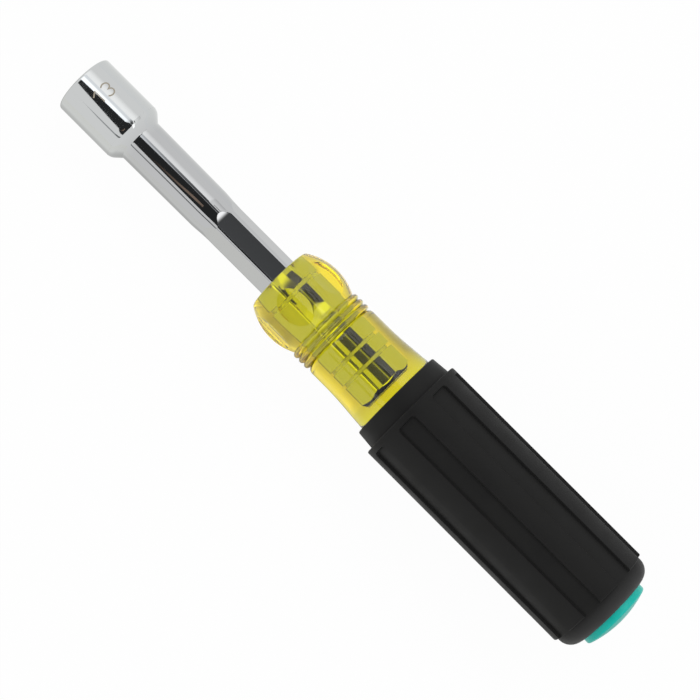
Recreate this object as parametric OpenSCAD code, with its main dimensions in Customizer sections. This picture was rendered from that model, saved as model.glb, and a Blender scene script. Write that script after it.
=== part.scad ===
// Nut driver with a hollow shaft, a clear moulded handle, a cushion grip and a colour-coded end cap.
// The tool lies on its side. +X runs along its axis from the socket's mouth to the end cap and +Z is up.
// The origin is on the ground, under the middle of the tool. Lengths are in millimetres.
// A clock angle is measured round the axis, from straight up towards +Y.

/* [Socket] */
// Nut size across flats
nut_af = 13; // [10:0.5:14]
// Play across the flats between nut and socket
nut_play = 0.2; // [0.1:0.05:0.4]
// Depth of the hexagon below the mouth
nut_depth = 12; // [8:0.5:15]
// Wall of the socket at the middle of the hexagon's flats
socket_wall = 2.7; // [2:0.1:4]
// Length of the socket up to its sloping shoulder
socket_l = 20.1; // [17:0.1:30]
// Slope of the shoulder behind the socket, from the axis
shoulder_angle = 42; // [30:1:60]
// Rounding of the shoulder's outer edge
shoulder_round = 3; // [0.5:0.25:4]
// Rounding of the outer edge at the mouth
mouth_round = 0.7; // [0.2:0.1:0.8]
// Width of the lead-in chamfer outside the hexagon's corners
mouth_chamfer = 0.15; // [0.05:0.05:0.3]

/* [Shaft] */
// Shaft diameter behind the socket
shaft_front_d = 13.6; // [12.6:0.1:14.5]
// Shaft diameter where the hexagon starts to form
shaft_rear_d = 13.2; // [12.6:0.1:14]
// Wall of the hollow shaft at the middle of the hexagon's flats
shaft_wall = 1.25; // [0.9:0.05:2]
// Length of the shaft outside the handle, socket included
exposed_l = 77.5; // [70:0.5:200]
// Length of the hexagon outside the handle
bolster_l = 22.2; // [12:0.2:30]
// Hexagon across flats
bolster_af = 11.1; // [10.6:0.1:11.6]
// Amount by which the hexagon's corners are rounded off
corner_trim = 0.15; // [0.05:0.05:0.6]
// Length over which the round shaft shrinks to the hexagon's corners
swage_l = 4.4; // [2:0.2:8]
// Length of the ramp at the start of each flat
ramp_l = 2.2; // [1:0.1:4]
// Length by which the flats start in front of the hexagon's straight corners
flat_lead = 0.3; // [0.1:0.1:1]
// Clock angle of a flat of the hexagon
bolster_clock = 10; // [-30:1:30]
// Length of the shaft inside the handle
embedded_l = 42.7; // [38:0.1:60]
// Length of the chamfer round the shaft's rear end
end_chamfer_l = 1.3; // [0.5:0.1:2]
// Depth of that chamfer below the hexagon's corners
end_chamfer_depth = 0.9; // [0.3:0.1:1.2]
// Width of the retaining grooves
retain_w = 0.85; // [0.5:0.05:1.5]
// Depth of the retaining grooves below the flats
retain_depth = 0.35; // [0.1:0.05:0.5]
// Front retaining groove, from the handle's front face
front_retain_at = 6.4; // [4:0.1:15]
// Last retaining groove, from the shaft's rear end
rear_retain_at = 8.4; // [5:0.1:12]
// Spacing of the rear pair of retaining grooves
retain_pitch = 5; // [3:0.1:8]

/* [Shaft plug] */
// Depth of the plug's seat, bored into the wall of the shaft's rear end
plug_seat = 0.3; // [0.1:0.05:0.5]
// Length of the plug inside its seat
plug_l = 8; // [4:0.5:14]
// Width of the plug's flange outside its seat
plug_flange_w = 0.5; // [0.2:0.1:0.7]
// Thickness of the plug's flange
plug_flange_t = 0.8; // [0.5:0.1:2]
// Gap between the plug and its seat
plug_gap = 0.02; // [0.01:0.01:0.05]

/* [Handle bulb] */
// Diameter of the finger bulb
bulb_d = 26.4; // [25.4:0.1:30]
// Radius of the bulb's lengthwise curve
bulb_curve_r = 16.8; // [15:0.1:24]
// Thickest part of the bulb, from the handle's front face
bulb_peak_at = 9.6; // [8:0.1:11]
// Length of the bulb
bulb_l = 17.4; // [16:0.1:20]
// Rounding of the handle's front edge
front_round = 0.9; // [0.4:0.1:2]
// Number of flutes round the bulb
flute_count = 6; // [3:1:8]
// Depth of each flute at the thickest part of the bulb
flute_depth = 0.9; // [0.3:0.05:1.1]
// Radius of the hollow of each flute
flute_r = 23.5; // [8:0.5:40]
// Clock angle of a flute
flute_clock = 47.6; // [0:0.1:60]

/* [Handle neck] */
// Number of bead rings behind the bulb
bead_count = 3; // [1:1:5]
// Spacing of the bead rings
bead_pitch = 1.95; // [1.8:0.05:2.6]
// Height of the bead rings above the waist
bead_rise = 0.15; // [-0.2:0.05:0.6]
// Radius of each bead
bead_r = 1; // [0.95:0.05:1.3]
// Depth of the neck between the beads, below the waist
neck_drop = 0.7; // [0.4:0.05:1.2]
// Length of the bare neck behind the last bead
neck_l = 0.6; // [0.3:0.1:3]
// Rounding of the waist's front edge
waist_round = 0.6; // [0.2:0.1:0.7]
// Length of the straight waist
waist_l = 5.6; // [3:0.1:20]
// Length over which the waist flares out to the core
flare_l = 16.05; // [8:0.05:30]
// Rise of the flare from the waist to the core
flare_rise = 1; // [0.4:0.1:2]

/* [Handle core] */
// Number of keys that stop the grip from turning
key_count = 4; // [2:1:4]
// Width of each key
key_w = 4; // [2:0.5:5]
// Height of each key above the core
key_h = 1; // [0.5:0.1:1.5]
// Distance from the keys' rear ends to the core's rear end
key_inset = 9.2; // [4:0.2:40]
// Gap between the handle and the shaft moulded into it
mould_gap = 0.03; // [0.01:0.01:0.05]

/* [Cushion grip] */
// Diameter of the grip between and behind the ribs
body_d = 31.3; // [26:0.1:37]
// Wall of the grip between the ribs
grip_wall = 2.6; // [2.3:0.05:3.5]
// Wall of the collar where it meets the ledge
collar_wall = 1.85; // [1.2:0.05:2.5]
// Amount by which the collar is thinner at its front edge
collar_taper = 0.5; // [0:0.05:0.7]
// Length of the collar
collar_l = 5.6; // [3:0.1:12]
// Height of the ring and the ribs above the body
rib_h = 0.9; // [0.5:0.1:2.5]
// Length of the plain ring in front of the grooves
ring_l = 2; // [1:0.1:6]
// Length of the ribs behind the ring
rib_l = 70.6; // [68:0.1:90]
// Number of ribs
rib_count = 8; // [5:1:10]
// Width of the groove between two ribs
groove_w = 5.8; // [3:0.1:6]
// Rounding of the front corners of each groove
groove_round = 1; // [0.2:0.1:1.4]
// Clock angle of a rib
rib_clock = 11; // [-22.5:0.1:22.5]
// Length of the smooth tail behind the ribs
tail_l = 5; // [4.6:0.1:10]
// Rounding of the tail's rear edge
tail_round = 4.25; // [1:0.05:4.5]
// Rounding of the collar's front edge, the ledge and the ribs' rear ends
grip_edge_round = 0.45; // [0.1:0.05:0.6]
// Thickness of the lip behind the core
lip_t = 3.4; // [2:0.1:6]
// Gap between the grip and the core inside it
sleeve_gap = 0.05; // [0.02:0.01:0.2]

/* [End cap] */
// Distance from the core's edge in to the cap's head
cap_inset = 2.3; // [1.6:0.1:5]
// Height of the head's straight side above the grip
cap_side_l = 2.3; // [0.6:0.1:4]
// Rise of the dome above the straight side
cap_dome_h = 1.6; // [0.8:0.1:4]
// Rounding where the side meets the dome
cap_edge_round = 0.6; // [0.2:0.1:0.8]
// Diameter of the cap's stem
stem_d = 12; // [8:0.5:16]
// Length of the cap's stem
stem_l = 14; // [6:0.5:24]
// Gap between the stem and its hole
stem_gap = 0.04; // [0.02:0.01:0.1]

/* [Hidden] */
$fn = 96;
eps = 1;

steel = "silver";
plug_grey = [0.32, 0.33, 0.34];
clear_yellow = [0.93, 0.79, 0.1, 0.6];
grip_black = [0.14, 0.14, 0.14];
cap_teal = [0, 0.62, 0.55];

// Stations along the axis, from the socket's mouth
swage_at = exposed_l - bolster_l - swage_l;
hex_at = exposed_l - bolster_l;
flat_at = hex_at - flat_lead;
handle_at = exposed_l;
shaft_end = exposed_l + embedded_l;
beads_at = handle_at + bulb_l;
waist_at = beads_at + bead_count * bead_pitch + neck_l;
flare_at = waist_at + waist_l;
grip_at = flare_at + flare_l;
ledge_at = grip_at + collar_l;
groove_at = ledge_at + ring_l;
rib_end = groove_at + rib_l;
grip_end = rib_end + tail_l;
core_end = grip_end - lip_t;
overall_l = grip_end + cap_side_l + cap_dome_h;

// Radii, each from the piece that it fits
nut_flat_r = (nut_af + nut_play) / 2;
hex_corner_r = nut_flat_r / cos(30);
socket_r = nut_flat_r + socket_wall;
shoulder_l = (socket_r - shaft_front_d / 2) / tan(shoulder_angle);
bolster_flat_r = bolster_af / 2;
bolster_corner_r = bolster_flat_r / cos(30) - corner_trim;
bore_r = bolster_flat_r - shaft_wall;
plug_r = bore_r + plug_seat;
plug_flange_r = plug_r + plug_flange_w;
body_r = body_d / 2;
rib_r = body_r + rib_h;
sleeve_r = body_r - grip_wall;
core_r = sleeve_r - sleeve_gap;
collar_r = sleeve_r + collar_wall;
waist_r = core_r - flare_rise;
neck_r = waist_r - neck_drop;
bead_centre_r = waist_r + bead_rise - bead_r;
cap_r = core_r - cap_inset;
flare_curve_r = (pow(flare_l, 2) + pow(flare_rise, 2)) / flare_rise / 2;
dome_r = (pow(cap_r, 2) + pow(cap_dome_h, 2)) / cap_dome_h / 2;
key_l = core_end - key_inset - groove_at;
axis_h = rib_r;

function unit(v) = v / norm(v);
function cross_z(a, b) = a[0] * b[1] - a[1] * b[0];
function flat_point(p) = [p[0], p[1]];

// Corner i of a path whose points are [radius, station, rounding]: unit vectors to both neighbours
function arm(path, i, step) =
    unit(flat_point(path[(i + len(path) + step) % len(path)]) - flat_point(path[i]));

// A counter-clockwise path turns left at an outer corner and right at an inner one
function is_outer(path, i) = cross_z(-arm(path, i, -1), arm(path, i, 1)) > 0;

// The sliver between a sharp corner and its rounding
module corner_sliver(path, i) {
    p = flat_point(path[i]);
    before = arm(path, i, -1);
    after = arm(path, i, 1);
    r = path[i][2];
    half = acos(before * after) / 2;
    reach = r / tan(half);
    difference() {
        polygon([p, p + before * reach, p + after * reach]);
        translate(p + unit(before + after) * r / sin(half)) circle(r);
    }
}

// An outline whose corners carry their own rounding
module rounded(path) {
    difference() {
        union() {
            polygon([for (p = path) flat_point(p)]);
            for (i = [0:len(path) - 1])
                if (path[i][2] > 0 && !is_outer(path, i)) corner_sliver(path, i);
        }
        for (i = [0:len(path) - 1])
            if (path[i][2] > 0 && is_outer(path, i)) corner_sliver(path, i);
    }
}

// Rounds the edge where a straight line meets an arc: c is the rounding's centre,
// and from and to are the directions in which it touches the line and the arc
module softened(c, r, from, to) {
    reach = 3 * r;
    middle = (from + to) / 2;
    difference() {
        children();
        polygon([
            c,
            c + reach * [cos(from), sin(from)],
            c + 2 * reach * [cos(middle), sin(middle)],
            c + reach * [cos(to), sin(to)]
        ]);
    }
    translate(c) circle(r);
}

// Lays a piece that is drawn along +Z, from the mouth at 0, into the tool's frame
module on_axis() {
    translate([-overall_l / 2, 0, axis_h]) rotate([0, 90, 0]) children();
}

// Turns a piece that is drawn along +X to a clock angle
module clocked(angle) {
    rotate([0, 0, 180 - angle]) children();
}

// Everything beyond one flat of the hexagon, with the ramp that leads down to it
module flat_cut(grow) {
    flat_r = bolster_flat_r + grow;
    ramp_r = shaft_rear_d / 2 + grow;
    over = shaft_rear_d;
    translate([0, over / 2, 0]) rotate([90, 0, 0]) linear_extrude(over)
        polygon([
            [ramp_r, flat_at - ramp_l],
            [flat_r, flat_at],
            [flat_r, shaft_end + eps],
            [over, shaft_end + eps],
            [over, flat_at - ramp_l]
        ]);
}

// One retaining groove round the hexagon
module retain_cut(at, grow) {
    width = retain_w - 2 * grow;
    rotate_extrude()
        translate([bolster_flat_r - retain_depth + grow, at - width / 2])
            square([shaft_rear_d, width]);
}

// The outside of the shaft, solid; the handle's cavity is the same shape grown by a gap
module shaft_outside(grow) {
    end = shaft_end + grow;
    difference() {
        rotate_extrude() rounded([
            [0, 0, 0],
            [socket_r + grow, 0, mouth_round],
            [socket_r + grow, socket_l, shoulder_round],
            [shaft_front_d / 2 + grow, socket_l + shoulder_l, 0],
            [shaft_rear_d / 2 + grow, swage_at, 0],
            [bolster_corner_r + grow, hex_at, 0],
            [bolster_corner_r + grow, end - end_chamfer_l, 0],
            [bolster_corner_r - end_chamfer_depth + grow, end, 0],
            [0, end, 0]
        ]);
        for (side = [0:5]) clocked(bolster_clock + side * 60) flat_cut(grow);
        retain_cut(handle_at + front_retain_at, grow);
        retain_cut(shaft_end - rear_retain_at, grow);
        retain_cut(shaft_end - rear_retain_at - retain_pitch, grow);
    }
}

// Hexagon for the nut, with a conical lead-in at the mouth
module nut_pocket() {
    lead_r = hex_corner_r + mouth_chamfer;
    clocked(bolster_clock) rotate([0, 0, 30]) translate([0, 0, -eps])
        cylinder(r = hex_corner_r, h = nut_depth + eps, $fn = 6);
    translate([0, 0, -eps]) cylinder(r1 = lead_r + eps, r2 = lead_r - eps, h = 2 * eps);
}

module socket_shaft() {
    color(steel) on_axis() difference() {
        shaft_outside(0);
        nut_pocket();
        cylinder(r = bore_r, h = shaft_end);
        translate([0, 0, shaft_end - plug_l]) cylinder(r = plug_r, h = plug_l + eps);
    }
}

module shaft_plug() {
    color(plug_grey) on_axis() {
        translate([0, 0, shaft_end - plug_l]) cylinder(r = plug_r - plug_gap, h = plug_l);
        translate([0, 0, shaft_end]) cylinder(r = plug_flange_r, h = plug_flange_t);
    }
}

// Barrel-shaped bulb with a rounded front edge
module bulb_outline() {
    arc_r = bulb_d / 2 - bulb_curve_r;
    run = bulb_peak_at - front_round;
    edge_r = arc_r + sqrt(pow(bulb_curve_r - front_round, 2) - pow(run, 2));
    touch = -asin(run / (bulb_curve_r - front_round));
    softened([edge_r, handle_at + front_round], front_round, -90, touch)
        intersection() {
            translate([arc_r, handle_at + bulb_peak_at]) circle(bulb_curve_r);
            translate([0, handle_at]) square([bulb_d, bulb_l]);
        }
}

// Neck with its bead rings, between the bulb and the waist
module bead_outline() {
    translate([0, beads_at - eps]) square([neck_r, waist_at - beads_at + 2 * eps]);
    for (i = [0:bead_count - 1])
        translate([bead_centre_r, beads_at + (i + 0.5) * bead_pitch]) circle(bead_r);
}

// Waist, flare and the core under the grip
module core_outline() {
    difference() {
        rounded([
            [0, waist_at, 0],
            [waist_r, waist_at, waist_round],
            [waist_r, flare_at, 0],
            [core_r, flare_at, 0],
            [core_r, core_end, 0],
            [0, core_end, 0]
        ]);
        intersection() {
            translate([waist_r + flare_curve_r, flare_at]) circle(flare_curve_r);
            translate([waist_r, flare_at]) square([core_r, flare_l]);
        }
    }
}

// Keys on the core, or with a gap their slots in the grip
module core_keys(grow) {
    width = key_w + 2 * grow;
    for (i = [0:key_count - 1])
        clocked(rib_clock + i * 360 / key_count)
            translate([core_r - key_h, -width / 2, groove_at - grow])
                cube([2 * key_h + grow, width, key_l + 2 * grow]);
}

// Hollows that give the fingers a hold on the bulb
module flute_cuts() {
    for (i = [0:flute_count - 1])
        clocked(flute_clock + i * 360 / flute_count)
            translate([bulb_d / 2 - flute_depth + flute_r, 0, handle_at])
                cylinder(r = flute_r, h = bulb_l);
}

module handle_core() {
    color(clear_yellow) on_axis() difference() {
        union() {
            difference() {
                rotate_extrude() bulb_outline();
                flute_cuts();
            }
            rotate_extrude() bead_outline();
            rotate_extrude() core_outline();
            core_keys(0);
        }
        shaft_outside(mould_gap);
        cylinder(r = plug_flange_r + mould_gap, h = shaft_end + plug_flange_t + mould_gap);
        translate([0, 0, core_end - stem_l - stem_gap])
            cylinder(d = stem_d + 2 * stem_gap, h = stem_l + eps);
    }
}

// One groove between two ribs, open at its rear end
module groove_cut() {
    half = groove_w / 2;
    length = rib_l + eps;
    translate([0, 0, groove_at]) rotate([90, 0, 90]) linear_extrude(2 * rib_r)
        rounded([
            [-half, 0, groove_round],
            [half, 0, groove_round],
            [half, length, 0],
            [-half, length, 0]
        ]);
}

// Ring and ribs, as a cage that is rooted in the wall of the grip's body
module rib_cage() {
    root_r = (core_r + body_r) / 2;
    difference() {
        rotate_extrude() rounded([
            [root_r, ledge_at, 0],
            [rib_r, ledge_at, grip_edge_round],
            [rib_r, rib_end, grip_edge_round],
            [root_r, rib_end, 0]
        ]);
        for (i = [0:rib_count - 1])
            clocked(rib_clock + (i + 0.5) * 360 / rib_count) groove_cut();
    }
}

// Collar, body, tail and the lip that closes over the core's rear end
module sleeve_body() {
    ring_middle = ledge_at + ring_l / 2;
    rotate_extrude() rounded([
        [sleeve_r, grip_at, 0],
        [collar_r - collar_taper, grip_at, grip_edge_round],
        [collar_r, ledge_at, 0],
        [collar_r, ring_middle, 0],
        [body_r, ring_middle, 0],
        [body_r, grip_end, tail_round],
        [cap_r + sleeve_gap, grip_end, 0],
        [cap_r + sleeve_gap, core_end + sleeve_gap, 0],
        [sleeve_r, core_end + sleeve_gap, 0]
    ]);
}

module cushion_grip() {
    color(grip_black) on_axis() difference() {
        union() {
            sleeve_body();
            rib_cage();
        }
        core_keys(sleeve_gap);
    }
}

// Domed head with a softened rim
module cap_outline() {
    edge_r = cap_r - cap_edge_round;
    centre = overall_l - dome_r;
    edge_z = centre + sqrt(pow(dome_r - cap_edge_round, 2) - pow(edge_r, 2));
    touch = atan2(edge_z - centre, edge_r);
    softened([edge_r, edge_z], cap_edge_round, 0, touch)
        intersection() {
            translate([0, core_end]) square([cap_r, overall_l - core_end]);
            translate([0, centre]) circle(dome_r);
        }
}

module end_cap() {
    color(cap_teal) on_axis() {
        rotate_extrude() cap_outline();
        translate([0, 0, core_end - stem_l]) cylinder(d = stem_d, h = stem_l);
    }
}

socket_shaft();
shaft_plug();
handle_core();
cushion_grip();
end_cap();
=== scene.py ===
"""Looks of a 13 mm nut driver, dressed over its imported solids.

The tool has a hollow chrome shaft with a socket at its front and a plug in its rear end, a clear handle
moulded round the shaft, a ribbed cushion grip and a coloured end cap. Each of them is a class below, each
finish is a frozen dataclass, and main() builds them in order. Sizes are millimetres: stations run along
the axis from the socket's mouth, radii stand square to it, and clock angles, in degrees, turn round it
from straight up towards +Y. Meshes are written in metres, in the frame of the solids.
"""

import logging
import math
from dataclasses import dataclass, field
from enum import Enum
from typing import Any, NamedTuple, Sequence

import bmesh
import bpy
from mathutils import Matrix, Vector


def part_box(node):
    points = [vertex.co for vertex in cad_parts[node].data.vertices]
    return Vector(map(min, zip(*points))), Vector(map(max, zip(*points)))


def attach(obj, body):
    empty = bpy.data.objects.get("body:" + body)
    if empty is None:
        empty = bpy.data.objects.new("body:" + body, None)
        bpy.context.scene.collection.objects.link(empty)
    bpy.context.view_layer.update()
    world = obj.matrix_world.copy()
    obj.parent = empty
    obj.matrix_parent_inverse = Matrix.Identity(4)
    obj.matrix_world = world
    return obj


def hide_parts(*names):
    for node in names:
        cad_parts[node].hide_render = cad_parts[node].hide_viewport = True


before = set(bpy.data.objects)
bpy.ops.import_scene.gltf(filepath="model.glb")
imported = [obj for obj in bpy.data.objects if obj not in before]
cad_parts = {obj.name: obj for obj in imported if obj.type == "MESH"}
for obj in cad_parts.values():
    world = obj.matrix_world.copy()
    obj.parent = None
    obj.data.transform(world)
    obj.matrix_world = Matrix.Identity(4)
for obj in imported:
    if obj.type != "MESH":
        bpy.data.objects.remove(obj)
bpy.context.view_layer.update()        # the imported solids, which stay where they are

log = logging.getLogger("nut_driver")

MM = 0.001
BODY = "root"
# Points closer than this, in metres, are one point
WELD = 2e-6
# Edges that turn by more than this stay crisp
SHARP_DEG = 38.0
# Reach of a moulded-on piece into its neighbour, so that no film of air shows between them
BOND = 0.03
# Half of the angle that one side of a hexagon takes, in degrees
HEX_HALF = 30.0
WHITE = "#FFFFFF"
# Bounces of light in all, and off or through one kind of surface
BOUNCES = 32
SURFACE_BOUNCES = 24


class Ring(NamedTuple):
    """One ring of a turned outline."""

    station: float
    radius: float


class Corner(NamedTuple):
    """A corner of a turned outline, and the radius that rounds it."""

    station: float
    radius: float
    rounding: float = 0.0


def linear(code: str) -> tuple[float, float, float, float]:
    """Turns an sRGB hex colour into Blender's linear values.

    Args:
        code: Colour as "#RRGGBB".

    Returns:
        Linear red, green, blue and a full alpha.
    """
    channels = [int(code[i:i + 2], 16) / 255 for i in (1, 3, 5)]
    bent = [c / 12.92 if c <= 0.04045 else ((c + 0.055) / 1.055) ** 2.4 for c in channels]
    return (bent[0], bent[1], bent[2], 1.0)


def add_node(tree: bpy.types.NodeTree, kind: str, inputs: dict | None = None, **settings: Any) -> Any:
    """Adds one node to a tree, with its settings and links.

    Args:
        tree: Tree that takes the node.
        kind: Blender's name for the type of node.
        inputs: Inputs by name or number. A socket, or the first output of a node, is linked, and anything
            else is set as the value.
        settings: Properties of the node.

    Returns:
        The new node.
    """
    node = tree.nodes.new(kind)
    for name, value in settings.items():
        setattr(node, name, value)
    for key, value in (inputs or {}).items():
        if isinstance(value, bpy.types.Node):
            value = next(socket for socket in value.outputs if socket.enabled)
        if isinstance(value, bpy.types.NodeSocket):
            tree.links.new(value, node.inputs[key])
        else:
            node.inputs[key].default_value = value
    return node


def placed(name: str, data: bpy.types.ID) -> bpy.types.Object:
    """Puts data into the scene as a new object.

    Args:
        name: Name of the object.
        data: Mesh, curve, lamp or camera that it shows.

    Returns:
        The object.
    """
    item = bpy.data.objects.new(name, data)
    bpy.context.scene.collection.objects.link(item)
    return item


def posed(place: Vector, right: Vector, up: Vector, back: Vector) -> Matrix:
    """Matrix of a lamp or a camera at a place, turned so that it looks away from its back."""
    return Matrix.Translation(place) @ Matrix((right, up, back)).transposed().to_4x4()


def smooth_min(a: float, b: float, blend: float) -> float:
    """Smaller of two levels, with the crease between them rounded over the blend."""
    return min(a, b) - max(blend - abs(a - b), 0.0) ** 2 / (4 * blend)


def smooth_max(a: float, b: float, blend: float) -> float:
    """Larger of two levels, with the crease between them rounded over the blend."""
    return -smooth_min(-a, -b, blend)


def spaced(start: float, end: float, count: int) -> list[float]:
    """Count + 1 values at even steps from start to end."""
    return [start + (end - start) * i / count for i in range(count + 1)]


def mirrored(half: list[float]) -> list[float]:
    """Values that start at 0, with the same values on the other side of it in front."""
    return [-value for value in reversed(half[1:])] + half


def arc(centre: Ring, bend: float, start: float, end: float, step: float = 6.0) -> list[Ring]:
    """Rings along an arc of a turned outline.

    Args:
        centre: Centre of the arc.
        bend: Radius of the arc.
        start: First angle in degrees, where 0 points away from the axis and 90 to the rear.
        end: Last angle.
        step: Largest step between rings, in degrees.

    Returns:
        The rings, both ends included.
    """
    count = max(2, math.ceil(abs(end - start) / step))
    turns = [math.radians(angle) for angle in spaced(start, end, count)]
    return [Ring(centre.station + bend * math.sin(t), centre.radius + bend * math.cos(t)) for t in turns]


def soften(corners: Sequence[Corner], step: float = 6.0) -> list[Ring]:
    """Draws an open outline through its corners, with each rounding as an arc.

    Args:
        corners: Corners in order; the first and last are sharp.
        step: Largest step between rings on a rounding, in degrees.

    Returns:
        Rings along the outline.
    """
    spots = [Vector((corner.station, corner.radius)) for corner in corners]
    rings: list[Ring] = []
    for i, corner in enumerate(corners):
        if not corner.rounding:
            rings.append(Ring(corner.station, corner.radius))
            continue
        before = (spots[i - 1] - spots[i]).normalized()
        after = (spots[i + 1] - spots[i]).normalized()
        half = before.angle(after) / 2
        centre = spots[i] + (before + after).normalized() * corner.rounding / math.sin(half)
        spoke = spots[i] + before * corner.rounding / math.tan(half) - centre
        sweep = math.copysign(math.pi - 2 * half, -before.cross(after))
        count = max(4, math.ceil(math.degrees(abs(sweep)) / step))
        for turn in spaced(0, sweep, count):
            rings.append(Ring(*(centre + Matrix.Rotation(turn, 2) @ spoke)))
    return rings


def guard(rings: Sequence[Ring], margin: float = 0.12, longest: float = 0.5) -> list[Ring]:
    """Adds rings close to both ends of each long stretch, so that its shading stays straight.

    Args:
        rings: Outline to go over.
        margin: Distance of an added ring from its end of the stretch.
        longest: Stretches up to this length stay as they are.

    Returns:
        The outline with its added rings.
    """
    guarded = [rings[0]]
    for a, b in zip(rings, rings[1:]):
        length = math.dist(a, b)
        if length > longest:
            for share in (margin / length, 1 - margin / length):
                guarded.append(Ring(*(p + (q - p) * share for p, q in zip(a, b))))
        guarded.append(b)
    return guarded


@dataclass(frozen=True)
class ToolAxis:
    """Axis of the tool in the frame of the solids, in metres."""

    mouth_x: float
    height: float

    @classmethod
    def of_frame(cls) -> "ToolAxis":
        """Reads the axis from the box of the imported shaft."""
        low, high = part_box("socket_shaft")
        return cls(low.x, (low.z + high.z) / 2)

    def x(self, station: float) -> float:
        """Place of a station along X, in metres."""
        return self.mouth_x + station * MM

    def point(self, station: float, radius: float, clock: float) -> Vector:
        """Point of a sector that is drawn with the axis at height 0, in metres."""
        turn = math.radians(clock)
        return Vector((self.x(station), radius * MM * math.sin(turn), radius * MM * math.cos(turn)))


def sector_mesh(name: str, rows: Sequence[Sequence[Vector]], closed: bool = False) -> bpy.types.Mesh:
    """Makes a grid of faces through rows of points.

    Args:
        name: Name of the mesh.
        rows: Rows of equally many points.
        closed: True if the last row joins the first.

    Returns:
        The mesh.
    """
    width = len(rows[0])
    last = len(rows) if closed else len(rows) - 1
    faces: list[tuple[int, ...]] = []
    for i in range(last):
        here = i * width
        there = (i + 1) % len(rows) * width
        faces += [(here + k, here + k + 1, there + k + 1, there + k) for k in range(width - 1)]
    mesh = bpy.data.meshes.new(name)
    mesh.from_pydata([point for row in rows for point in row], [], faces)
    return mesh


class ShapeTree:
    """A Geometry Nodes tree with named inputs, and what it takes to bake an object through it."""

    def __init__(self, name: str, inputs: dict[str, str]) -> None:
        """Starts the tree.

        Args:
            name: Name of the tree.
            inputs: Type of each input socket, by its name. A geometry input always comes first.
        """
        self.tree = bpy.data.node_groups.new(name, "GeometryNodeTree")
        self.tree.interface.new_socket("Geometry", in_out="INPUT", socket_type="NodeSocketGeometry")
        self.keys: dict[str, str] = {}
        for label, kind in {**inputs, "Material": "NodeSocketMaterial"}.items():
            socket = self.tree.interface.new_socket(label, in_out="INPUT", socket_type=kind)
            self.keys[label] = socket.identifier
        self.tree.interface.new_socket("Geometry", in_out="OUTPUT", socket_type="NodeSocketGeometry")
        self.given = add_node(self.tree, "NodeGroupInput").outputs

    def close(self, geometry: bpy.types.Node) -> None:
        """Ends the tree: what it made becomes real geometry in its material.

        Args:
            geometry: Node that makes the shape.
        """
        real = add_node(self.tree, "GeometryNodeRealizeInstances", {"Geometry": geometry})
        dressed = add_node(self.tree, "GeometryNodeSetMaterial", {
            "Geometry": real, "Material": self.given["Material"],
        })
        add_node(self.tree, "NodeGroupOutput", {"Geometry": dressed})

    def bake(self, name: str, data: bpy.types.ID, values: dict[str, Any]) -> bpy.types.Object:
        """Puts a mesh or curve through the tree and keeps the result as a plain mesh.

        Args:
            name: Name of the finished piece.
            data: Mesh or curve that goes in.
            values: Value of each input, by its name.

        Returns:
            The finished piece, at the origin, smooth and closed.
        """
        draft = placed(f"{name}_draft", data)
        modifier = draft.modifiers.new(self.tree.name, "NODES")
        modifier.node_group = self.tree
        for label, value in values.items():
            modifier[self.keys[label]] = value
        shaped = draft.evaluated_get(bpy.context.evaluated_depsgraph_get())
        mesh = bpy.data.meshes.new_from_object(shaped)
        mesh.name = name
        draft.modifiers.remove(modifier)
        bpy.data.objects.remove(draft)
        self.finish_mesh(mesh)
        return placed(name, mesh)

    @staticmethod
    def finish_mesh(mesh: bpy.types.Mesh) -> None:
        """Welds a mesh's seams and poles, turns its faces outwards and smooths it.

        Args:
            mesh: Mesh to finish.
        """
        work = bmesh.new()
        work.from_mesh(mesh)
        bmesh.ops.remove_doubles(work, verts=work.verts, dist=WELD)
        bmesh.ops.dissolve_degenerate(work, edges=work.edges, dist=WELD)
        bmesh.ops.recalc_face_normals(work, faces=work.faces)
        work.to_mesh(mesh)
        work.free()
        mesh.polygons.foreach_set("use_smooth", [True] * len(mesh.polygons))
        mesh.set_sharp_from_angle(angle=math.radians(SHARP_DEG))


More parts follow.
